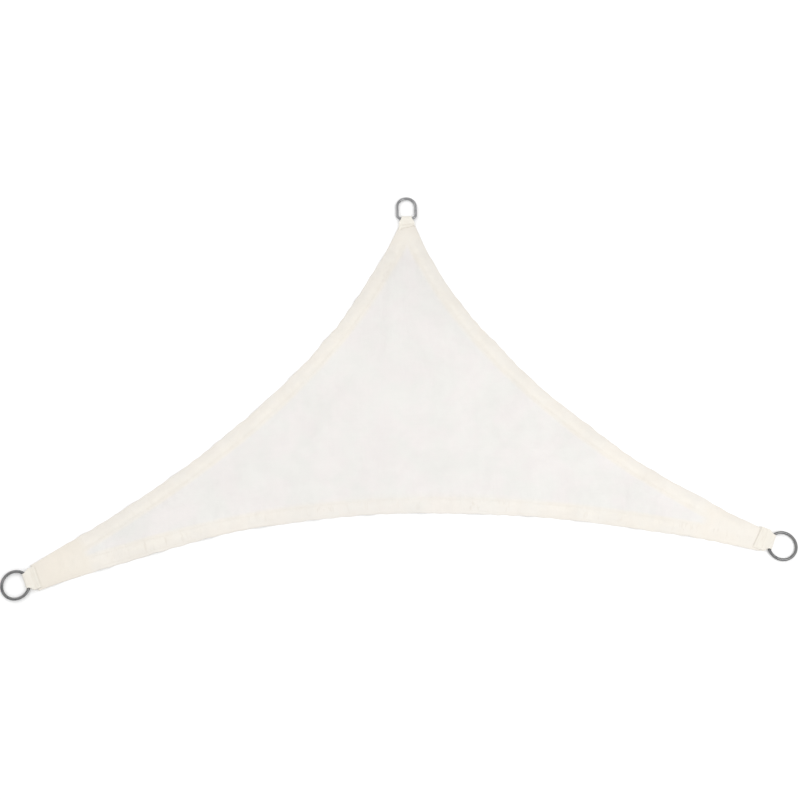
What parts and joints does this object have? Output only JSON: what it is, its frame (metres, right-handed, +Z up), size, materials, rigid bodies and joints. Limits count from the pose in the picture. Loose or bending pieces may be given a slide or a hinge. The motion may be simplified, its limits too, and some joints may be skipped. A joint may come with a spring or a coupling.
{
  "type": "shade sail",
  "caption": "Triangular shade sail laid flat, with hollow-cut hemmed edges and a webbing tab at each corner that holds a steel D-ring for a rope or hook.",
  "frame": {"origin": "middle of the whole sail with its rings, on the surface that it lies on", "axes": "+X along the long front edge towards the right corner, +Y towards the third corner, +Z up from the surface"},
  "size_m": [1.9996, 1.059, 0.0114],
  "materials": {
    "sail_fabric": "cream woven sail cloth, matte, slightly sheer in its single layer",
    "webbing": "cream ribbed polyester webbing",
    "ring_steel": "dull grey steel wire"
  },
  "bodies": {
    "root": {"sail_cloth": "sail_fabric", "tab_left": "webbing", "tab_right": "webbing", "tab_top": "webbing", "ring_left": "ring_steel", "ring_right": "ring_steel", "ring_top": "ring_steel"}
  },
  "joints": []
}
